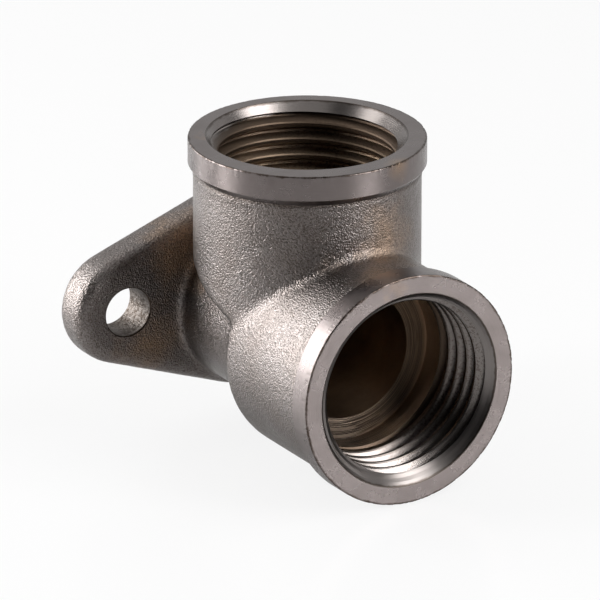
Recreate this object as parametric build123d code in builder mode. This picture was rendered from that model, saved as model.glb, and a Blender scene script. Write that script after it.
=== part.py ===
from build123d import *
import os
from math import radians, tan

# Wall-plate elbow fitting with two internally threaded sockets, in millimetres.
# The wall lies at Y = 0, the front socket opens along -Y and the top socket along +Z.
# The origin is on the wall face, on the axis of the front socket.

# Where the two socket axes cross, and how far each mouth is from there
wall_to_top_axis = 15.5
front_reach = 20.9
top_reach = 21.9

# Sockets: as forged outside, with a turned rim at the mouth and a rounded heel at the far end
front_socket_diameter = 24.2
top_socket_diameter = 24.3
front_rim_diameter = 25.5
top_rim_diameter = 25.4
rim_height = 2.8
rim_foot_height = 0.7
front_socket_length = 18.1
top_socket_length = 15.5
front_heel_radius = 0.9
top_heel_radius = 2.0

# Bores: crest diameter of the thread, lead-in chamfer at the mouth, and the waterway behind
thread_crest_diameter = 18.9
mouth_diameter = 21.4
bore_depth = 12.2
waterway_diameter = 14.2
drill_point_angle = 118
front_drill_overrun = 4.0
top_drill_stop = 1.2

# Necks behind the sockets: one back to the flange, one down to the crossing
back_neck_diameter = 18.3
down_neck_diameter = 18.0
neck_root_radius = 1.1

# Web in the corner between the two heels, seen from the side: it slopes down and forward
# from where the top heel begins to round, and runs into the crease between the sockets
web_top_behind_crossing = 6.6
web_foot_from_axes = 3.6
web_edge_radius = 1.0

# Flange with two ears
flange_thickness = 4.5
flange_middle_radius = 11.35
ear_hole_spacing = 31.2
ear_hole_diameter = 5.4
ear_tip_radius = 6.1
ear_lift = 1.3
flange_front_edge_radius = 1.5
flange_back_edge_radius = 1.0

# The crossing of the socket axes, with a plane for each socket's half section:
# local X is the radius and local Y runs out towards the mouth. The side plane looks along X
crossing = (0, -wall_to_top_axis, 0)
front_axis = Axis(crossing, (0, -1, 0))
top_axis = Axis(crossing, (0, 0, 1))
front_section = Plane(origin=crossing, x_dir=(1, 0, 0), z_dir=(0, 0, -1))
top_section = Plane(origin=crossing, x_dir=(1, 0, 0), z_dir=(0, -1, 0))
side_section = Plane(origin=crossing, x_dir=(0, 1, 0), z_dir=(1, 0, 0))

front_rim_radius = front_rim_diameter / 2
front_socket_radius = front_socket_diameter / 2
front_heel = front_reach - front_socket_length
top_rim_radius = top_rim_diameter / 2
top_socket_radius = top_socket_diameter / 2
top_heel = top_reach - top_socket_length
back_neck_radius = back_neck_diameter / 2
down_neck_radius = down_neck_diameter / 2
flange_middle = flange_thickness / 2 - wall_to_top_axis
mouth_radius = mouth_diameter / 2
crest_radius = thread_crest_diameter / 2
waterway_radius = waterway_diameter / 2
drill_point_length = waterway_radius / tan(radians(drill_point_angle / 2))
web_top = top_heel + top_heel_radius
web_slope = (web_top - web_foot_from_axes) / (web_top_behind_crossing + web_foot_from_axes)
web_tail = -2 * web_foot_from_axes


def socket_bore(section, axis, reach, waterway_end):
    """The space inside a socket: chamfered bore, and the waterway behind it down to its drill point."""
    with BuildPart() as bore:
        with BuildSketch(section):
            with BuildLine():
                Polyline(
                    (0, reach),
                    (mouth_radius, reach),
                    (crest_radius, reach - (mouth_radius - crest_radius)),
                    (crest_radius, reach - bore_depth),
                    (waterway_radius, reach - bore_depth),
                    (waterway_radius, waterway_end),
                    (0, waterway_end - drill_point_length),
                    close=True,
                )
            make_face()
        revolve(axis=axis)
    return bore.part


front_bore = socket_bore(front_section, front_axis, front_reach, -front_drill_overrun)
top_bore = socket_bore(top_section, top_axis, top_reach, top_drill_stop)

with BuildPart() as flange:
    with BuildSketch(Plane.XZ):
        with Locations((0, ear_lift)):
            Circle(flange_middle_radius)
            with GridLocations(ear_hole_spacing, 0, 2, 1):
                Circle(ear_tip_radius)
        make_hull()
    extrude(amount=flange_thickness)
    fillet(flange.faces().sort_by(Axis.Y)[0].edges(), flange_front_edge_radius)
    fillet(flange.faces().sort_by(Axis.Y)[-1].edges(), flange_back_edge_radius)

with BuildPart() as heel_web:
    with BuildSketch(side_section):
        with BuildLine():
            Polyline(
                (web_top_behind_crossing, web_top),
                (web_tail, web_foot_from_axes + web_slope * (web_tail + web_foot_from_axes)),
                (-web_top, web_top),
                close=True,
            )
        make_face()
    extrude(amount=top_socket_radius, both=True)
    with Locations(crossing):
        Cylinder(
            top_socket_radius,
            web_top,
            align=(Align.CENTER, Align.CENTER, Align.MIN),
            mode=Mode.INTERSECT,
        )
    sloping_face = heel_web.faces().filter_by(GeomType.PLANE).sort_by(Axis.Y)[-1]
    fillet(sloping_face.edges().filter_by(GeomType.LINE, reverse=True), web_edge_radius)

with BuildPart() as elbow_body:
    # Front socket, with the neck that runs back from it into the flange
    with BuildSketch(front_section):
        with BuildLine():
            FilletPolyline(
                (0, front_reach),
                (front_rim_radius, front_reach),
                (front_rim_radius, front_reach - rim_height),
                (front_socket_radius, front_reach - rim_height - rim_foot_height),
                (front_socket_radius, front_heel),
                (back_neck_radius, front_heel),
                (back_neck_radius, flange_middle),
                (0, flange_middle),
                radius=[0, 0, 0, 0, front_heel_radius, neck_root_radius, 0, 0],
                close=True,
            )
        make_face()
    revolve(axis=front_axis)

    # Top socket, with the neck that runs down from it to the crossing
    with BuildSketch(top_section):
        with BuildLine():
            FilletPolyline(
                (0, top_reach),
                (top_rim_radius, top_reach),
                (top_rim_radius, top_reach - rim_height),
                (top_socket_radius, top_reach - rim_height - rim_foot_height),
                (top_socket_radius, top_heel),
                (down_neck_radius, top_heel),
                (down_neck_radius, 0),
                (0, 0),
                radius=[0, 0, 0, 0, top_heel_radius, neck_root_radius, 0, 0],
                close=True,
            )
        make_face()
    revolve(axis=top_axis)

    add(heel_web.part)
    add(flange.part)

    # Bores and waterway, then the screw holes through the ears
    add(front_bore, mode=Mode.SUBTRACT)
    add(top_bore, mode=Mode.SUBTRACT)
    with Locations(Plane(origin=(0, 0, ear_lift), x_dir=(1, 0, 0), z_dir=(0, 1, 0))):
        with GridLocations(ear_hole_spacing, 0, 2, 1):
            Hole(radius=ear_hole_diameter / 2, depth=flange_thickness)

os.makedirs("parts", exist_ok=True)
elbow_body.part.label = "elbow_body"
export_step(elbow_body.part, "parts/elbow_body.step")
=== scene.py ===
import math
from collections import namedtuple
from functools import cached_property

import bmesh
import bpy
import numpy as np
from mathutils import Matrix, Vector, noise


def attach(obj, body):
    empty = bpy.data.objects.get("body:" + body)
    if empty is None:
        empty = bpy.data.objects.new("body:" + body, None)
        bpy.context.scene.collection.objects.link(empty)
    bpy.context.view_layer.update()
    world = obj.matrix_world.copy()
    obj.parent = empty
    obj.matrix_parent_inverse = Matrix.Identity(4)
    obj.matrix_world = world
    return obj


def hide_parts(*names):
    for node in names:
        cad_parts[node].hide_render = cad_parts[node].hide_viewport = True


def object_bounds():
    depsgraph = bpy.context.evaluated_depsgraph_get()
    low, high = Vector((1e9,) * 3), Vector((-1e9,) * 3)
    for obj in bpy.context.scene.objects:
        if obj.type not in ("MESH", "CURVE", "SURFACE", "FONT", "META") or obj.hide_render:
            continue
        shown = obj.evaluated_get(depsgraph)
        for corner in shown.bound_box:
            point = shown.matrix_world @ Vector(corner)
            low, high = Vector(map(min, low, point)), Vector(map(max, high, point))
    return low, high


# Wall-plate elbow fitting: the forging's blended and pebbled skin, its turned rims,
# the two threads and the nickel finish are made here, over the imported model.

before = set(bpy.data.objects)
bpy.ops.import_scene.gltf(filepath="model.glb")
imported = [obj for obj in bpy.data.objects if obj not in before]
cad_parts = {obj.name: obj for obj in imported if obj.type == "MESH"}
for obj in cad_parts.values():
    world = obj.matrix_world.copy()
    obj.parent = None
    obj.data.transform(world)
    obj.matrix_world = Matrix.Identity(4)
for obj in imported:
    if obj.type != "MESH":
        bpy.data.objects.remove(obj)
cad_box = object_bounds()

MM = 0.001

# Sizes in millimetres, as in the part's source. The rims are turned 0.008 mm slimmer,
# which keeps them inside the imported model's box
WALL_TO_TOP_AXIS = 15.5
FRONT_REACH = 20.9
TOP_REACH = 21.9
FRONT_RIM_RADIUS = 12.742
TOP_RIM_RADIUS = 12.692
FRONT_SOCKET_RADIUS = 12.1
TOP_SOCKET_RADIUS = 12.15
RIM_HEIGHT = 2.8
RIM_FOOT_HEIGHT = 0.7
MOUTH_RADIUS = 10.7
CREST_RADIUS = 9.45
BORE_DEPTH = 12.2
WATERWAY_RADIUS = 7.1
DRILL_POINT_LENGTH = 4.266
FRONT_WATERWAY_DEPTH = FRONT_REACH + 4.0
TOP_WATERWAY_DEPTH = TOP_REACH - 1.2
FLANGE_THICKNESS = 4.5
EAR_HOLE_SPACING = 31.2
EAR_HOLE_RADIUS = 2.7
EAR_LIFT = 1.3

RIM_FOOT = RIM_HEIGHT + RIM_FOOT_HEIGHT

# The G 1/2 thread: pitch, root radius, root rounding, flank angle and how far its crests are broken.
# It starts before the mouth and runs out before the relief
THREAD_PITCH = 1.814
THREAD_ROOT_RADIUS = 10.478
THREAD_ROOT_ROUNDING = 0.249
THREAD_FLANK_ANGLE = 27.5
CREST_BREAK = 0.13
THREAD_START = -0.9
THREAD_DEPTH = 9.4
THREAD_RUN_OUT_TURNS = 0.45

# Steps around a bore or thread, a rim, and an ear's hole
TURN_STEPS = 144
RIM_STEPS = 432
HOLE_STEPS = 72

# The drill leaves a shallow cone at the end of each bore, and the cone that cuts a mouth's chamfer
# runs on past the crests
CONE_HEIGHT = 0.2
CHAMFER_OVERRUN = 0.25

# Edges: the rims' outer edge with its fine and broad nicks, and the ear holes' edge
RIM_EDGE = 0.1
FINE_NICK = 0.08
BROAD_NICK = 0.04
HOLE_EDGE = 0.14

# Skin of the forging: mesh size, blend of its creases and depth of its unevenness.
# Creases at the flange, which lie behind this Y, are blended in fewer steps
SKIN_VOXEL = 0.3
BLEND_STEPS = 16
FLANGE_BLEND_STEPS = 8
FLANGE_BLEND_BEHIND = -7.0
SETTLE_STEPS = 3
SKIN_DEPTH = 0.03

# Material slots of the body
CAST, FRONT_RIM, TOP_RIM, FRONT_BORE, TOP_BORE, WATERWAY, HOLE, FRONT_STEP, TOP_STEP = range(9)

# A port: its frame, whose local Z runs into the fitting from the centre of the mouth, its sizes,
# how the turned bands of its chamfer bow, how far across local X and Y the chamfer is off the
# bore's axis, the turn at which its thread starts, the seed of its nicks, and its slots
Port = namedtuple(
    "Port",
    "place rim_radius socket_radius waterway_depth chamfer_bows chamfer_shift thread_phase "
    "nick_seed rim_slot bore_slot step_slot",
)

FRONT = Port(
    place=Matrix(
        ((1, 0, 0, 0), (0, 0, 1, -WALL_TO_TOP_AXIS - FRONT_REACH), (0, -1, 0, 0), (0, 0, 0, 1))
    ),
    rim_radius=FRONT_RIM_RADIUS,
    socket_radius=FRONT_SOCKET_RADIUS,
    waterway_depth=FRONT_WATERWAY_DEPTH,
    chamfer_bows=(0.012, 0.026, 0.018, 0.0, 0.006, 0.02, 0.012, 0.0),
    chamfer_shift=(0, 0),
    thread_phase=-0.22,
    nick_seed=3.7,
    rim_slot=FRONT_RIM,
    bore_slot=FRONT_BORE,
    step_slot=FRONT_STEP,
)

TOP = Port(
    place=Matrix(
        ((1, 0, 0, 0), (0, -1, 0, -WALL_TO_TOP_AXIS), (0, 0, -1, TOP_REACH), (0, 0, 0, 1))
    ),
    rim_radius=TOP_RIM_RADIUS,
    socket_radius=TOP_SOCKET_RADIUS,
    waterway_depth=TOP_WATERWAY_DEPTH,
    chamfer_bows=(0.006, 0.010, 0.010, 0.006),
    chamfer_shift=(0.18, -0.42),
    thread_phase=0.64,
    nick_seed=8.1,
    rim_slot=TOP_RIM,
    bore_slot=TOP_BORE,
    step_slot=TOP_STEP,
)

PORTS = (FRONT, TOP)


def ear_place(side):
    """Frame of an ear's hole: local Z runs from the ear's front face to the wall."""
    return Matrix(
        (
            (1, 0, 0, side * EAR_HOLE_SPACING / 2),
            (0, 0, 1, -FLANGE_THICKNESS),
            (0, -1, 0, EAR_LIFT),
            (0, 0, 0, 1),
        )
    )


# Mesh helpers


def link_object(name, mesh):
    """A new object for a mesh, in the scene."""
    piece = bpy.data.objects.new(name, mesh)
    bpy.context.scene.collection.objects.link(piece)
    return piece


def mesh_object(name, points, faces):
    """A mesh object with its faces turned outwards."""
    mesh = bpy.data.meshes.new(name)
    bm = bmesh.new()
    corners = [bm.verts.new(p) for p in points]
    for face in faces:
        bm.faces.new([corners[i] for i in face])
    bmesh.ops.recalc_face_normals(bm, faces=bm.faces)
    bm.to_mesh(mesh)
    bm.free()
    return link_object(name, mesh)


def remove(piece):
    """Deletes a helper object."""
    bpy.data.objects.remove(piece, do_unlink=True)


def apply_modifiers(piece):
    """Turns the piece's modifiers into its mesh."""
    depsgraph = bpy.context.evaluated_depsgraph_get()
    mesh = bpy.data.meshes.new_from_object(piece.evaluated_get(depsgraph))
    piece.modifiers.clear()
    piece.data = mesh


def lathe(name, profile, place, steps=TURN_STEPS, wear=None):
    """A solid of revolution about local Z. The profile is (radius, depth), from the axis to the axis.
    Wear moves each corner, given its index in the profile, angle, radius and depth."""
    points = []
    rings = []
    for index, (radius, depth) in enumerate(profile):
        if radius == 0:
            rings.append([len(points)])
            points.append(place @ Vector((0, 0, depth)))
            continue
        ring = []
        for step in range(steps):
            angle = 2 * math.pi * step / steps
            r, d = wear(index, angle, radius, depth) if wear else (radius, depth)
            ring.append(len(points))
            points.append(place @ Vector((r * math.cos(angle), r * math.sin(angle), d)))
        rings.append(ring)
    faces = []
    for a, b in zip(rings, rings[1:]):
        for step in range(steps):
            after = (step + 1) % steps
            if len(a) == 1:
                faces.append((a[0], b[step], b[after]))
            elif len(b) == 1:
                faces.append((a[step], b[0], a[after]))
            else:
                faces.append((a[step], b[step], b[after], a[after]))
    return mesh_object(name, points, faces)


def is_closed(mesh):
    """True if each edge has two faces."""
    bm = bmesh.new()
    bm.from_mesh(mesh)
    closed = len(bm.faces) > 0 and all(edge.is_manifold for edge in bm.edges)
    bm.free()
    return closed


def combine(piece, tool, operation):
    """Adds the tool solid to the piece, or cuts it out, and deletes the tool."""
    before = piece.data
    for solver in ("MANIFOLD", "EXACT"):
        piece.data = before
        modifier = piece.modifiers.new("combine", "BOOLEAN")
        modifier.operation = operation
        modifier.solver = solver
        modifier.object = tool
        apply_modifiers(piece)
        if is_closed(piece.data):
            break
    remove(tool)


def into_frame(points, place):
    """The points in the frame's own coordinates."""
    inverse = place.inverted()
    return points @ np.array(inverse.to_3x3()).T + np.array(inverse.translation)


def out_of_frame(local, place):
    """Points from the frame's own coordinates back to the object's."""
    return local @ np.array(place.to_3x3()).T + np.array(place.translation)


def polar(points, place):
    """Radius from a frame's axis and depth along it, for each point."""
    local = into_frame(points, place)
    return np.hypot(local[:, 0], local[:, 1]), local[:, 2]


# The forging's skin


def cad_solid(node):
    """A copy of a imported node's mesh, in millimetres."""
    bm = bmesh.new()
    bm.from_mesh(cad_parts[node].data)
    bmesh.ops.remove_doubles(bm, verts=bm.verts, dist=1e-8)
    for vertex in bm.verts:
        vertex.co = vertex.co / MM
    mesh = bpy.data.meshes.new(node + "_skin")
    bm.to_mesh(mesh)
    bm.free()
    return link_object(node + "_skin", mesh)


def plugs():
    """Solids that fill the bores and the ears' holes before the skin is drawn over them."""
    sunk = 0.4
    wide = 0.6
    made = []
    for port in PORTS:
        profile = [
            (0, sunk),
            (MOUTH_RADIUS + wide / 2, sunk),
            (MOUTH_RADIUS + wide / 2, BORE_DEPTH + wide),
            (WATERWAY_RADIUS + wide, BORE_DEPTH + wide),
            (WATERWAY_RADIUS + wide, port.waterway_depth + wide / 2),
            (0, port.waterway_depth + DRILL_POINT_LENGTH + wide),
        ]
        made.append(lathe("plug", profile, port.place))
    hole_sunk = 0.05
    hole_radius = EAR_HOLE_RADIUS + 0.3
    for side in (-1, 1):
        profile = [
            (0, hole_sunk),
            (hole_radius, hole_sunk),
            (hole_radius, FLANGE_THICKNESS - hole_sunk),
            (0, FLANGE_THICKNESS - hole_sunk),
        ]
        made.append(lathe("plug", profile, ear_place(side)))
    return made


def plugged_skin():
    """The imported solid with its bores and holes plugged, remeshed into even small faces."""
    skin = cad_solid("elbow_body")
    fillings = plugs()
    bm = bmesh.new()
    for piece in [skin] + fillings:
        bm.from_mesh(piece.data)
    merged = bpy.data.meshes.new("skin")
    bm.to_mesh(merged)
    bm.free()
    for filling in fillings:
        remove(filling)
    skin.data = merged
    remesh = skin.modifiers.new("remesh", "REMESH")
    remesh.mode = "VOXEL"
    remesh.voxel_size = SKIN_VOXEL
    apply_modifiers(skin)
    return skin


def neighbour_mean(points, edges, degree):
    """The mean of each point's neighbours."""
    total = np.empty_like(points)
    for axis in range(3):
        total[:, axis] = np.bincount(
            edges[:, 0], points[edges[:, 1], axis], len(points)
        ) + np.bincount(edges[:, 1], points[edges[:, 0], axis], len(points))
    return total / degree[:, None]


def smoothed(points, edges, degree, steps):
    """Points after that many half steps towards their neighbours' mean."""
    for _ in range(steps):
        points = 0.5 * points + 0.5 * neighbour_mean(points, edges, degree)
    return points


def eased(value, low, high):
    """0 below low, 1 above high, with a smooth step between."""
    t = np.clip((value - low) / (high - low), 0, 1)
    return t * t * (3 - 2 * t)


def read_mesh(items, attribute, width, kind):
    """One attribute of a mesh's vertices, edges or faces, as rows."""
    values = np.empty(len(items) * width, kind)
    items.foreach_get(attribute, values)
    return values.reshape(-1, width)


def under_rim(points, port):
    """The points, with those under a turned rim drawn back inside it."""
    clearance = 0.02
    sunk = 0.3
    past_foot = 0.25
    radius, depth = polar(points, port.place)
    slim = port.socket_radius - clearance
    under = depth < RIM_FOOT + past_foot
    shrink = np.where(under & (radius > slim), slim / radius, 1.0)
    local = into_frame(points, port.place)
    local[:, 0] *= shrink
    local[:, 1] *= shrink
    local[:, 2] += np.where(under, np.maximum(sunk - depth, 0), 0)
    return out_of_frame(local, port.place)


def draw_skin():
    """The forging's outside as one closed mesh, with its creases blended and its face slightly uneven."""
    skin = plugged_skin()
    mesh = skin.data
    start = read_mesh(mesh.vertices, "co", 3, float)
    normals = read_mesh(mesh.vertices, "normal", 3, float)
    edges = read_mesh(mesh.edges, "vertices", 2, np.int64)
    degree = np.bincount(edges.ravel(), minlength=len(start)).astype(float)

    # Only hollow creases fill: an outward move counts, an inward one doesn't
    full_lift = 0.08
    near = smoothed(start, edges, degree, FLANGE_BLEND_STEPS)
    far = smoothed(near, edges, degree, BLEND_STEPS - FLANGE_BLEND_STEPS)
    by_flange = eased(start[:, 1], FLANGE_BLEND_BEHIND - 1.0, FLANGE_BLEND_BEHIND + 1.0)[:, None]
    moved = near * by_flange + far * (1 - by_flange) - start
    lift = (moved * normals).sum(1)
    points = start + moved * eased(lift, 0.0, full_lift)[:, None]
    points = smoothed(points, edges, degree, SETTLE_STEPS)

    # Slightly uneven forged face, inwards only
    waves = 1.1
    uneven = np.array([0.5 + 0.5 * noise.noise(Vector(p) * waves) for p in points])
    points = points - normals * (SKIN_DEPTH * uneven)[:, None]

    for port in PORTS:
        points = under_rim(points, port)
    points = np.clip(points, np.array(cad_box[0]) / MM, np.array(cad_box[1]) / MM)
    mesh.vertices.foreach_set("co", points.ravel())
    mesh.update()
    return skin


# Turned rims and bores


def rim_solid(port):
    """The turned collar at a mouth, with its nicked outer edge."""
    edge = RIM_EDGE
    radius = port.rim_radius
    inside = RIM_FOOT - 0.1
    profile = [
        (0, 0),
        (MOUTH_RADIUS + 0.6, 0),
        (radius - edge - 0.12, 0),
        (radius - edge, 0.004),
        (radius - edge * 0.3, edge * 0.3),
        (radius, edge),
        (radius, 0.9),
        (radius, 1.8),
        (radius, RIM_HEIGHT - 0.12),
        (radius - 0.1, RIM_HEIGHT + 0.03),
        (port.socket_radius - 0.05, inside),
        (port.socket_radius - 0.8, inside),
        (0, inside),
    ]
    nicked = {3: 0.5, 4: 1.0, 5: 0.8}

    def nicks(index, angle, r, depth):
        """Small nicks in the edge's corners, fine ones on top of broad ones."""
        if index not in nicked:
            return r, depth
        around = 12
        spot = Vector((math.cos(angle) * around, math.sin(angle) * around, port.nick_seed))
        fine = max(noise.noise(spot * 3.1) - 0.05, 0)
        broad = max(noise.noise(spot * 0.7), 0)
        nick = nicked[index] * (FINE_NICK * fine + BROAD_NICK * broad)
        return r - nick, depth + nick * 0.5

    return lathe("rim", profile, port.place, RIM_STEPS, nicks)


def bore_solid(port):
    """The space inside a socket: bore, cone and waterway with its drill point."""
    profile = [
        (0, -1),
        (CREST_RADIUS, -1),
        (CREST_RADIUS, BORE_DEPTH - CONE_HEIGHT),
        (WATERWAY_RADIUS, BORE_DEPTH),
        (WATERWAY_RADIUS, port.waterway_depth),
        (0, port.waterway_depth + DRILL_POINT_LENGTH),
    ]
    return lathe("bore", profile, port.place)


def chamfer_solid(port):
    """The cone cut at a mouth, with its turned bands bowing a little."""
    profile = [
        (0, -1),
        (MOUTH_RADIUS + 0.1, -1),
        (MOUTH_RADIUS + 0.1, 0),
        (MOUTH_RADIUS + 0.03, 0.02),
        (MOUTH_RADIUS - 0.04, 0.08),
    ]
    start_radius, start_depth = profile[-1]
    length = MOUTH_RADIUS - CREST_RADIUS + CHAMFER_OVERRUN
    for band, bow in enumerate(port.chamfer_bows, 1):
        share = band / (len(port.chamfer_bows) + 1)
        radius = start_radius + (MOUTH_RADIUS - length - start_radius) * share
        depth = start_depth + (length - start_depth) * share
        profile.append((radius + bow, depth + bow))
    profile += [(MOUTH_RADIUS - length, length), (0, length)]
    return lathe("chamfer", profile, port.place @ Matrix.Translation((*port.chamfer_shift, 0)))


def thread_section():
    """The groove's section: (distance along the axis, radius), from one side to the other."""
    flank = math.radians(THREAD_FLANK_ANGLE)
    sweep = math.pi / 2 - flank
    rounding = THREAD_ROOT_ROUNDING
    side = []
    for share in (0.0, 0.4, 0.75, 1.0):
        angle = share * sweep
        root = THREAD_ROOT_RADIUS - rounding + rounding * math.cos(angle)
        side.append((rounding * math.sin(angle), root))

    # Up the flank to the broken crest, past it, and in to the axis with a narrow back
    past_crest = 0.06
    narrowing = 0.25
    back = 0.8
    along, radius = side[-1]
    broken = CREST_RADIUS + CREST_BREAK
    side.append((along + (radius - broken) * math.tan(flank), broken))
    side.append((side[-1][0] + CREST_BREAK + past_crest, CREST_RADIUS - past_crest))
    side.append((side[-1][0] - narrowing, CREST_RADIUS - back))
    return [(-u, r) for u, r in reversed(side)] + side[1:]


def thread_solid(port):
    """The coil that cuts the thread's groove, right-handed, running out at its deep end."""
    section = thread_section()
    turns = (THREAD_DEPTH - THREAD_START) / THREAD_PITCH
    steps = int(turns * TURN_STEPS)
    run_out = THREAD_ROOT_RADIUS - CREST_RADIUS + 0.15
    points = []
    for step in range(steps + 1):
        turn = step / TURN_STEPS
        angle = 2 * math.pi * (turn + port.thread_phase)
        left = (steps - step) / TURN_STEPS
        out = (1 - min(left / THREAD_RUN_OUT_TURNS, 1.0)) * run_out
        depth = THREAD_START + turn * THREAD_PITCH
        for along, radius in section:
            r = radius - out
            local = Vector((r * math.cos(angle), r * math.sin(angle), depth + along))
            points.append(port.place @ local)
    size = len(section)
    faces = []
    for step in range(steps):
        a = step * size
        b = a + size
        for i in range(size):
            j = (i + 1) % size
            faces.append((a + i, b + i, b + j, a + j))
    faces.append(tuple(range(size)))
    faces.append(tuple(steps * size + i for i in range(size)))
    return mesh_object("thread", points, faces)


def ear_hole_solid(side):
    """A screw hole through an ear, with its edges slightly broken."""
    wide = EAR_HOLE_RADIUS + HOLE_EDGE
    profile = [
        (0, -1.5),
        (wide, -1.5),
        (wide, 0),
        (EAR_HOLE_RADIUS, HOLE_EDGE),
        (EAR_HOLE_RADIUS, FLANGE_THICKNESS - HOLE_EDGE),
        (wide, FLANGE_THICKNESS),
        (wide, FLANGE_THICKNESS + 1),
        (0, FLANGE_THICKNESS + 1),
    ]
    return lathe("hole", profile, ear_place(side), HOLE_STEPS)


body = draw_skin()
for port in PORTS:
    combine(body, rim_solid(port), "UNION")
for cut in (bore_solid, chamfer_solid, thread_solid):
    for port in PORTS:
        combine(body, cut(port), "DIFFERENCE")
for side in (-1, 1):
    combine(body, ear_hole_solid(side), "DIFFERENCE")
print("BODY", len(body.data.vertices), len(body.data.polygons), "closed", is_closed(body.data))


# Node helpers


class Nodes:
    """Short ways to build the nodes of a material or of the world."""

    def __init__(self, tree):
        self.tree = tree

    def feed(self, value, socket):
        """Links a node's output to a socket, or sets the socket to a plain value."""
        if isinstance(value, bpy.types.NodeSocket):
            self.tree.links.new(value, socket)
        else:
            socket.default_value = value

    def add(self, kind, inputs=None, **settings):
        """A node with its settings, and its inputs set or linked."""
        node = self.tree.nodes.new(kind)
        for key, value in settings.items():
            setattr(node, key, value)
        for key, value in (inputs or {}).items():
            self.feed(value, node.inputs[key])
        return node

    def maths(self, operation, a, b):
        """A Math node's value."""
        return self.add("ShaderNodeMath", {0: a, 1: b}, operation=operation).outputs[0]

    def plus(self, a, b):
        """The sum of two values."""
        return self.maths("ADD", a, b)

    def minus(self, a, b):
        """The first value less the second."""
        return self.maths("SUBTRACT", a, b)

    def times(self, a, b):
        """The product of two values."""
        return self.maths("MULTIPLY", a, b)

    def over(self, a, b):
        """The first value divided by the second."""
        return self.maths("DIVIDE", a, b)

    def larger(self, a, b):
        """The larger of two values."""
        return self.maths("MAXIMUM", a, b)

    def vector_maths(self, operation, *vectors):
        """A Vector Math node's outputs."""
        inputs = dict(enumerate(vectors))
        return self.add("ShaderNodeVectorMath", inputs, operation=operation).outputs

    def ramp(self, value, *stops):
        """A colour ramp over (position, grey or colour) stops."""
        node = self.add("ShaderNodeValToRGB", {"Fac": value})
        elements = node.color_ramp.elements
        while len(elements) < len(stops):
            elements.new(0.5)
        for element, (position, colour) in zip(elements, stops):
            element.position = position
            element.color = (*colour, 1) if isinstance(colour, tuple) else (colour, colour, colour, 1)
        return node.outputs["Color"]

    def mix(self, share, a, b):
        """A mix of two colours. The share is the second one's. Sockets 6 and 7 take the colours."""
        node = self.add("ShaderNodeMix", {0: share}, data_type="RGBA")
        for index, colour in ((6, a), (7, b)):
            self.feed((*colour, 1) if isinstance(colour, tuple) else colour, node.inputs[index])
        return node.outputs[2]


class Surface(Nodes):
    """A new material with its Principled shader. Depths and radii are in millimetres."""

    def __init__(self, name):
        self.material = bpy.data.materials.new(name)
        self.material.use_nodes = True
        super().__init__(self.material.node_tree)
        self.shader = self.tree.nodes["Principled BSDF"]

    @cached_property
    def point(self):
        """The place on the object, in metres."""
        return self.add("ShaderNodeTexCoord").outputs["Object"]

    def depth(self, place):
        """Depth from a port's mouth."""
        into = place.to_3x3().col[2]
        along = self.vector_maths("DOT_PRODUCT", self.point, into / MM)["Value"]
        return self.minus(along, place.translation.dot(into))

    def radius(self, place):
        """Distance from a port's axis."""
        centred = self.vector_maths("SUBTRACT", self.point, place.translation * MM)[0]
        across = self.vector_maths("CROSS_PRODUCT", centred, place.to_3x3().col[2])[0]
        return self.over(self.vector_maths("LENGTH", across)["Value"], MM)

    def noise(self, scale, detail=2.0, roughness=0.5, vector=None):
        """Noise over the object, or over another vector."""
        where = self.point if vector is None else vector
        inputs = {"Vector": where, "Scale": scale, "Detail": detail, "Roughness": roughness}
        return self.add("ShaderNodeTexNoise", inputs).outputs["Fac"]

    def ragged(self, amount, scale, detail, roughness=0.5):
        """Noise about 0 for a ragged border, half the amount to each side."""
        return self.times(self.minus(self.noise(scale, detail, roughness), 0.5), amount)

    def rings(self, place, fineness):
        """Fine rings around a port's axis, varying slowly around it."""
        slow = self.times(self.noise(160), 2.5)
        inputs = {
            0: self.times(self.radius(place), fineness),
            1: self.times(self.depth(place), fineness),
            2: slow,
        }
        vector = self.add("ShaderNodeCombineXYZ", inputs).outputs[0]
        return self.noise(1.0, 3.0, vector=vector)

    def bump(self, height, distance):
        """Raises the surface by the height, times the distance in metres."""
        inputs = {"Height": height, "Strength": 1.0, "Distance": distance}
        self.feed(self.add("ShaderNodeBump", inputs).outputs["Normal"], self.shader.inputs["Normal"])

    def finish(self, colour, roughness, metallic=1.0):
        """Sets the shader's colour, roughness and metallic, and gives the material."""
        self.feed(colour, self.shader.inputs["Base Color"])
        self.feed(roughness, self.shader.inputs["Roughness"])
        self.feed(metallic, self.shader.inputs["Metallic"])
        return self.material


# Materials

# Nickel: turned, dulled by handling, and on the forged skin, with painted shade in its grain's hollows
NICKEL = (0.172, 0.149, 0.144)
NICKEL_DULLED = (0.125, 0.107, 0.098)
NICKEL_CAST = (0.200, 0.180, 0.172)
PAINTED_GRAIN_SHADE = (0.055, 0.042, 0.034)

# Tarnish and dirt: in clouds, in stains, along edges, on crests and in pits
TARNISH = (0.085, 0.056, 0.038)
BROWNED = (0.30, 0.21, 0.145)
# Edge colour: dirt, and also painted shade in the crease at each rim's foot and at each mouth's lip
EDGE_DIRT_AND_SHADE = (0.035, 0.022, 0.014)
CREST_DIRT = (0.045, 0.032, 0.023)
PIT_DIRT = (0.06, 0.04, 0.03)

# Tones of the drilled places: the rings at a bore's end, painted as shaded on one side and as lit
# on the other, the wall before them on the lit side, the waterway and the ears' holes
STEP_SHADED_TONES = ((0.46, (0.012, 0.008, 0.005)), (0.56, (0.16, 0.12, 0.09)))
STEP_LIT_TONES = ((0.42, (0.095, 0.064, 0.041)), (0.58, (0.21, 0.144, 0.094)))
STEP_WALL = (0.36, 0.245, 0.155)
WATERWAY_TONES = ((0.35, (0.20, 0.135, 0.085)), (0.7, (0.12, 0.078, 0.05)))
HOLE_TONES = ((0.4, (0.15, 0.132, 0.12)), (0.62, (0.045, 0.033, 0.025)))

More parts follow.
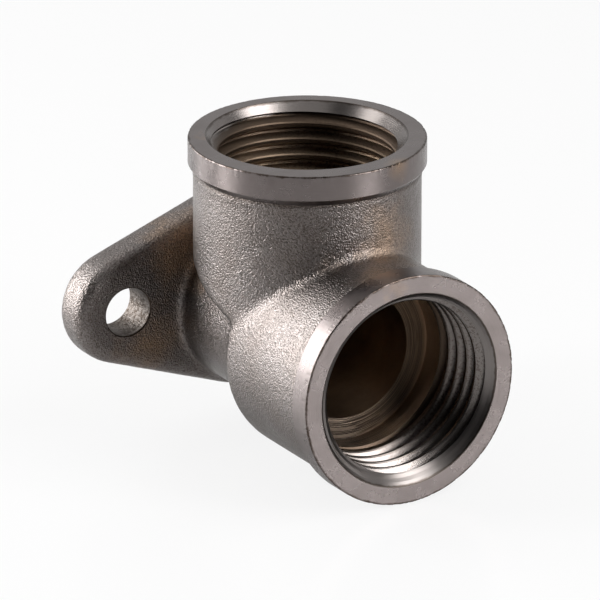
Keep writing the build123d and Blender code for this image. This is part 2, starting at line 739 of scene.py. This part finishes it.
# Where the plating has browned: (centre in millimetres, radius, strength)
STAINS = (
    ((2.6, -27.8, 13.2), 4.4, 0.65),
    ((-8.8, -4.5, 6.8), 4.2, 1.0),
    ((-13.0, -4.5, -2.5), 4.2, 0.75),
    ((-3.5, -26.5, 10.4), 2.6, 0.4),
    ((-1.8, -33.2, 12.3), 3.0, 0.75),
    ((4.1, -27.5, 21.6), 1.6, 0.5),
    ((-7.6, -10.9, 19.5), 2.8, 1.0),
)

# Bore tones and roughness by depth, as shares of the bore's depth
FRONT_BORE_TONES = (
    (0.0, (0.185, 0.168, 0.160)),
    (0.62, (0.180, 0.160, 0.150)),
    (0.73, (0.075, 0.054, 0.040)),
    (1.0, (0.06, 0.043, 0.03)),
)
# Top port tones: brown tarnish, painted shade in the first groove past the chamfer, and painted light that
# makes the thread lighter the deeper it lies
TOP_BORE_TONES_AND_PAINTED_LIGHT = (
    (0.0, (0.200, 0.180, 0.172)),
    (0.09, (0.190, 0.170, 0.160)),
    (0.105, (0.060, 0.043, 0.031)),
    (0.22, (0.13, 0.093, 0.067)),
    (0.40, (0.24, 0.176, 0.124)),
    (1.0, (0.40, 0.30, 0.21)),
)
FRONT_BORE_ROUGHNESS = ((0.06, 0.3), (0.12, 0.27), (0.7, 0.28), (0.76, 0.4))
TOP_BORE_ROUGHNESS = ((0.10, 0.26), (0.13, 0.43))

# How dirty the thread's crests are, by millimetres past the first turns
FRONT_CREST_DIRT = ((0.0, 0.0), (1.0, 0.35))
TOP_CREST_DIRT = ((0.0, 0.0), (0.5, 0.6))


def stain_share(surface):
    """How brown the plating is, 0 to 1, from the stains' places and noise."""
    reach = 1.25
    ragged = surface.ragged(1.8, scale=420, detail=4.0, roughness=0.6)
    share = 0.0
    for centre, radius, strength in STAINS:
        gap = surface.vector_maths("DISTANCE", surface.point, Vector(centre) * MM)["Value"]
        near = surface.minus(reach, surface.over(gap, radius * MM))
        share = surface.larger(share, surface.times(surface.plus(near, ragged), strength))
    return surface.ramp(share, (0.05, 0.0), (1.0, 0.95))


def cast_nickel():
    """Satin nickel over the forging's fine grain, with brown tarnish in places."""
    surface = Surface("cast_nickel")
    grain = surface.noise(scale=6000, detail=1.0)
    pebbles = surface.noise(scale=2900, detail=1.0)
    surface.bump(surface.plus(grain, surface.times(pebbles, 0.6)), distance=0.0001)

    # Tarnish in specks and clouds, then brown stains, then painted shade in the grain's hollows
    specks = surface.ramp(surface.noise(scale=1500, detail=5.0, roughness=0.7), (0.55, 0.0), (0.75, 0.5))
    clouds = surface.ramp(surface.noise(scale=180, detail=3.0), (0.4, 0.0), (0.75, 0.35))
    stained = stain_share(surface)
    grain_hollow_shade = surface.ramp(grain, (0.36, 0.65), (0.52, 0.0))
    colour = surface.mix(surface.larger(specks, clouds), NICKEL_CAST, TARNISH)
    colour = surface.mix(stained, colour, BROWNED)
    colour = surface.mix(grain_hollow_shade, colour, PAINTED_GRAIN_SHADE)

    # A dark line on the socket at each rim's foot: painted shade in the crease there, with some dirt
    foot_line_radius = 12.9
    for port in PORTS:
        past_foot = surface.minus(surface.depth(port.place), RIM_FOOT - 0.1)
        line = surface.ramp(past_foot, (0.0, 0.5), (0.16, 0.4), (0.34, 0.0))
        on_socket = surface.maths("LESS_THAN", surface.radius(port.place), foot_line_radius)
        colour = surface.mix(surface.times(line, on_socket), colour, EDGE_DIRT_AND_SHADE)

    rough = surface.ramp(surface.noise(scale=300, detail=3.0), (0.3, 0.28), (0.7, 0.34))
    return surface.finish(colour, surface.plus(rough, surface.times(stained, 0.2)))


def turned_nickel(name, port):
    """Satin nickel on a turned rim, with fine rings from the tool."""
    surface = Surface(name)
    rings = surface.rings(port.place, fineness=7.0)
    surface.bump(surface.plus(rings, surface.times(surface.noise(scale=3500), 0.35)), distance=0.000012)
    smear = surface.noise(scale=350, detail=4.0, roughness=0.6)
    dull = surface.ramp(surface.plus(smear, surface.times(rings, 0.4)), (0.62, 0.0), (0.95, 0.3))
    colour = surface.mix(dull, NICKEL, NICKEL_DULLED)
    colour = surface.mix(stain_share(surface), colour, BROWNED)

    # Dirt along the outer edge
    from_edge = surface.minus(port.rim_radius - 0.06, surface.radius(port.place))
    corner = surface.larger(surface.depth(port.place), from_edge)
    border = surface.plus(corner, surface.ragged(0.8, scale=1100, detail=4.0, roughness=0.7))
    colour = surface.mix(surface.ramp(border, (0.02, 0.8), (0.2, 0.0)), colour, EDGE_DIRT_AND_SHADE)
    return surface.finish(colour, surface.ramp(smear, (0.3, 0.24), (0.7, 0.34)))


def bore_nickel(name, port, tones, roughness, crest_dirt):
    """Cut thread and bore of one port: bright near the mouth, brown with tarnish further in."""
    surface = Surface(name)
    depth = surface.depth(port.place)
    wandering = surface.plus(depth, surface.ragged(1.0, scale=300, detail=4.0))
    # Tones by depth: tarnish further in, and in the top port also painted shade and painted light
    colour = surface.ramp(surface.over(wandering, BORE_DEPTH), *tones)

    # Dirt on the thread's crests, past its first turns
    first_turns = 2.4
    off_crest = surface.minus(surface.radius(port.place), CREST_RADIUS)
    dirt = surface.ramp(surface.minus(depth, first_turns), *crest_dirt)
    on_crest = surface.ramp(off_crest, (0.1, 1.0), (0.2, 0.0))
    colour = surface.mix(surface.times(on_crest, dirt), colour, CREST_DIRT)

    # Pits past the chamfer, and more of them towards the object's right
    chamfer_end = 1.0
    rightwards = (0.05 / MM, 0, 0)
    pits = surface.ramp(surface.noise(scale=4200, roughness=0.6), (0.5, 0.0), (0.62, 0.85))
    past_chamfer = surface.ramp(surface.minus(depth, chamfer_end), (0.0, 0.0), (0.5, 0.7))
    sideways = surface.plus(surface.vector_maths("DOT_PRODUCT", surface.point, rightwards)["Value"], 0.5)
    to_right = surface.ramp(sideways, (0.4, 0.2), (0.85, 1.0))
    pitted = surface.times(surface.times(pits, past_chamfer), to_right)
    colour = surface.mix(pitted, colour, PIT_DIRT)
    colour = surface.mix(stain_share(surface), colour, TARNISH)

    # A dark ragged lip at the mouth: painted shade at the edge between the face and the chamfer
    lip = surface.plus(depth, surface.ragged(0.3, scale=1300, detail=3.0))
    colour = surface.mix(surface.ramp(lip, (0.08, 0.7), (0.2, 0.0)), colour, EDGE_DIRT_AND_SHADE)
    surface.bump(surface.rings(port.place, fineness=8.0), distance=0.000008)
    return surface.finish(colour, surface.ramp(surface.over(depth, BORE_DEPTH), *roughness))


def step_nickel(name, port):
    """The end of a bore behind the thread: browned, with the drill's rings, painted lighter to the right
    and up as if lit from there, and darker on the other side as if in shade.
    """
    surface = Surface(name)
    rings = surface.rings(port.place, fineness=11.0)
    off_rings = surface.minus(surface.radius(port.place), 9.0)
    wall = surface.ramp(off_rings, (0.1, 0.0), (0.4, 1.0))
    light = surface.mix(wall, surface.ramp(rings, *STEP_LIT_TONES), STEP_WALL)
    # Painted light and shade: the lit tones towards the right and up, the shaded ones on the other side
    half_width = 8.0
    up_rightwards = (1.0 / MM, 0, 0.5 / MM)
    across = surface.vector_maths("DOT_PRODUCT", surface.point, up_rightwards)["Value"]
    share = surface.over(surface.plus(across, half_width), 2 * half_width)
    painted_lit_side = surface.ramp(share, (0.2, 0.0), (0.8, 1.0))
    colour = surface.mix(painted_lit_side, surface.ramp(rings, *STEP_SHADED_TONES), light)
    surface.bump(rings, distance=0.00008)
    return surface.finish(colour, 0.36, metallic=0.8)


def waterway_nickel():
    """The drilled waterway, brown with tarnish and dull."""
    surface = Surface("waterway_nickel")
    colour = surface.ramp(surface.noise(scale=250, detail=4.0), *WATERWAY_TONES)
    surface.bump(surface.noise(scale=1800, detail=3.0), distance=0.00003)
    return surface.finish(colour, 0.45)


def hole_nickel():
    """The ears' drilled holes: dull, mottled and browned, with a dark edge."""
    surface = Surface("hole_nickel")
    colour = surface.ramp(surface.noise(scale=2600, detail=4.0, roughness=0.65), *HOLE_TONES)
    edge = surface.ramp(surface.depth(ear_place(-1)), (0.1, 0.8), (0.3, 0.0))
    colour = surface.mix(edge, colour, EDGE_DIRT_AND_SHADE)
    surface.bump(surface.noise(scale=4200), distance=0.00008)
    return surface.finish(colour, 0.5)


def assign_zones(piece, materials):
    """Gives each face the skin's, a rim's or a bore's material, by where it lies."""
    mesh = piece.data
    mesh.materials.clear()
    for slot in sorted(materials):
        mesh.materials.append(materials[slot])
    centres = read_mesh(mesh.polygons, "center", 3, float)
    zone = np.full(len(centres), CAST, np.int32)

    # Small margins keep a zone's border off the edges beside it
    on_face = 0.001
    chamfer_end = 1.9
    past_thread = 0.4
    for port in PORTS:
        radius, depth = polar(centres, port.place)
        rim = (depth < RIM_FOOT - 0.12) & (radius > port.socket_radius - 0.06)
        rim |= (depth < on_face) & (radius > MOUTH_RADIUS - 0.6)
        zone[rim & (depth > -0.5)] = port.rim_slot
        bore = (radius < THREAD_ROOT_RADIUS + 0.05) & (depth > 0.0) & (depth < BORE_DEPTH)
        bore |= (radius < MOUTH_RADIUS + 0.6) & (depth > on_face) & (depth < chamfer_end)
        zone[bore] = port.bore_slot
        zone[bore & (depth > THREAD_DEPTH + past_thread)] = port.step_slot
        end = port.waterway_depth + DRILL_POINT_LENGTH
        zone[(radius < WATERWAY_RADIUS + 0.02) & (depth >= BORE_DEPTH) & (depth < end)] = WATERWAY
    for side in (-1, 1):
        radius, depth = polar(centres, ear_place(side))
        zone[(radius < EAR_HOLE_RADIUS + 0.13) & (depth > 0) & (depth < FLANGE_THICKNESS)] = HOLE
    mesh.polygons.foreach_set("material_index", zone)


# An edge is sharp from this many degrees: on the skin, on a turned rim, and elsewhere
SHARP_CAST = 32
SHARP_RIM = 1.2
SHARP_CUT = 6


def sharp_from(slots):
    """The angle from which an edge between faces of these slots is sharp, in degrees."""
    if slots == {CAST}:
        return SHARP_CAST
    return SHARP_RIM if slots <= {FRONT_RIM, TOP_RIM} else SHARP_CUT


def finish_mesh(piece):
    """Smooth shading with sharp edges kept, in metres."""
    mesh = piece.data
    mesh.transform(Matrix.Scale(MM, 4))
    bm = bmesh.new()
    bm.from_mesh(mesh)
    for face in bm.faces:
        face.smooth = True
    for edge in bm.edges:
        slots = {face.material_index for face in edge.link_faces}
        edge.smooth = edge.calc_face_angle(0) < math.radians(sharp_from(slots))
    bm.to_mesh(mesh)
    bm.free()
    mesh.update()


assign_zones(
    body,
    {
        CAST: cast_nickel(),
        FRONT_RIM: turned_nickel("front_rim_nickel", FRONT),
        TOP_RIM: turned_nickel("top_rim_nickel", TOP),
        FRONT_BORE: bore_nickel(
            "front_bore_nickel", FRONT, FRONT_BORE_TONES, FRONT_BORE_ROUGHNESS, FRONT_CREST_DIRT
        ),
        TOP_BORE: bore_nickel("top_bore_nickel", TOP, TOP_BORE_TONES_AND_PAINTED_LIGHT, TOP_BORE_ROUGHNESS, TOP_CREST_DIRT),
        WATERWAY: waterway_nickel(),
        HOLE: hole_nickel(),
        FRONT_STEP: step_nickel("front_step_nickel", FRONT),
        TOP_STEP: step_nickel("top_step_nickel", TOP),
    },
)
finish_mesh(body)
body.name = "elbow"
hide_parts("elbow_body")
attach(body, "root")


# Floor, light and camera

# The camera: angles in degrees, distance in metres, lens and sensor in millimetres, and where the
# crossing of the socket axes lies in its view, in metres to the right and up
CAMERA_AZIMUTH = -31.0
CAMERA_ELEVATION = 20.97
CAMERA_ROLL = 0.07
CAMERA_DISTANCE = 1.2
CAMERA_LENS = 675.9
CAMERA_SENSOR = 36
CROSSING_RIGHT = 0.000756
CROSSING_UP = -0.003079

# The floor's grey and roughness, how much of it is plain white to the camera and in the metal,
# its half width in metres and how far it lies below the object
FLOOR_GREY = 0.55
FLOOR_ROUGHNESS = 0.25
WHITE_TO_CAMERA = 0.85
WHITE_IN_METAL = 0.15
FLOOR_HALF = 4.0
FLOOR_GAP = 0.00002

# The room's greys, from in front of the object to the pale backdrop behind it
ROOM_STOPS = ((0.0, 0.02), (0.5, 0.03), (0.72, 0.5), (1.0, 0.75))

# Lamps: azimuth to the right of the camera, elevation, distance, size in metres and radiance
LAMPS = (
    ("left_key", -84, 17, 0.3, (0.11, 0.17), 17.0),
    ("left_rear", -118, 13, 0.3, (0.12, 0.16), 10.5),
    ("left_upper", -103, 45, 0.45, (0.18, 0.13), 4.4),
    ("rear_left_high", -145, 60, 0.5, (0.25, 0.25), 1.3),
    ("right_key", 60, 20, 0.3, (0.11, 0.17), 12.5),
    ("right_upper", 76, 56, 0.45, (0.3, 0.14), 8.5),
    ("rear_right", 118, 15, 0.35, (0.15, 0.17), 1.0),
    ("zenith", 0, 80, 0.5, (0.3, 0.25), 0.7),
)
LAMPS_CENTRE = Vector((0, -WALL_TO_TOP_AXIS * MM, 0.003))


def direction(azimuth, elevation):
    """A unit vector: azimuth from straight ahead of the front port, elevation above the floor."""
    a = math.radians(azimuth)
    e = math.radians(elevation)
    return Vector((math.sin(a) * math.cos(e), -math.cos(a) * math.cos(e), math.sin(e)))


def floor_piece():
    """A pale floor that keeps the object's shadow and is white around it."""
    corners = ((-1, -1), (1, -1), (1, 1), (-1, 1))
    z = cad_box[0][2] - FLOOR_GAP
    floor = mesh_object("floor", [(x * FLOOR_HALF, y * FLOOR_HALF, z) for x, y in corners], [(0, 1, 2, 3)])
    surface = Surface("floor_white")
    surface.finish((FLOOR_GREY, FLOOR_GREY, FLOOR_GREY, 1), FLOOR_ROUGHNESS, metallic=0.0)
    path = surface.add("ShaderNodeLightPath").outputs
    by_camera = surface.times(path["Is Camera Ray"], WHITE_TO_CAMERA)
    mirrored = surface.larger(path["Is Glossy Ray"], path["Is Transmission Ray"])
    share = surface.larger(by_camera, surface.times(mirrored, WHITE_IN_METAL))
    white = surface.add("ShaderNodeEmission", {"Color": (1, 1, 1, 1), "Strength": 1.0}).outputs[0]
    both = surface.add("ShaderNodeMixShader", {0: share, 1: surface.shader.outputs[0], 2: white}).outputs[0]
    surface.feed(both, surface.tree.nodes["Material Output"].inputs["Surface"])
    floor.data.materials.append(surface.material)


def world_light():
    """A dim grey room with a pale backdrop behind the object, white where the camera sees it."""
    world = bpy.data.worlds.new("room")
    bpy.context.scene.world = world
    world.use_nodes = True
    nodes = Nodes(world.node_tree)
    outwards = nodes.add("ShaderNodeTexCoord").outputs["Generated"]
    behind = -direction(CAMERA_AZIMUTH, 0)
    facing = nodes.vector_maths("DOT_PRODUCT", outwards, behind)["Value"]
    room = nodes.ramp(nodes.plus(nodes.times(facing, 0.5), 0.5), *ROOM_STOPS)
    seen = nodes.add("ShaderNodeLightPath").outputs["Is Camera Ray"]
    background = world.node_tree.nodes["Background"]
    nodes.feed(nodes.mix(seen, room, (1, 1, 1)), background.inputs["Color"])
    nodes.feed(1.0, background.inputs["Strength"])


def area_light(name, azimuth, elevation, distance, size, radiance):
    """A soft rectangular lamp placed around the object and turned to it."""
    data = bpy.data.lights.new(name, "AREA")
    data.shape = "RECTANGLE"
    data.size, data.size_y = size
    data.energy = radiance * math.pi * size[0] * size[1]
    outwards = direction(CAMERA_AZIMUTH + azimuth, elevation)
    lamp = link_object(name, data)
    lamp.location = LAMPS_CENTRE + outwards * distance
    lamp.rotation_euler = outwards.to_track_quat("Z", "Y").to_euler()


def add_camera():
    """The camera at the photograph's viewing angle."""
    back = direction(CAMERA_AZIMUTH, CAMERA_ELEVATION)
    level = direction(CAMERA_AZIMUTH + 90, 0)
    upright = back.cross(level)
    roll = math.radians(CAMERA_ROLL)
    right = level * math.cos(roll) + upright * math.sin(roll)
    up = upright * math.cos(roll) - level * math.sin(roll)
    crossing = Vector((0, -WALL_TO_TOP_AXIS * MM, 0))
    place = crossing - right * CROSSING_RIGHT - up * CROSSING_UP + back * CAMERA_DISTANCE
    data = bpy.data.cameras.new("camera")
    data.lens = CAMERA_LENS
    data.sensor_width = CAMERA_SENSOR
    data.clip_end = 20
    camera = link_object("camera", data)
    camera.matrix_world = Matrix.Translation(place) @ Matrix((right, up, back)).transposed().to_4x4()
    bpy.context.scene.camera = camera


floor_piece()
world_light()
for lamp in LAMPS:
    area_light(*lamp)
add_camera()
bpy.context.scene.view_settings.view_transform = "Standard"
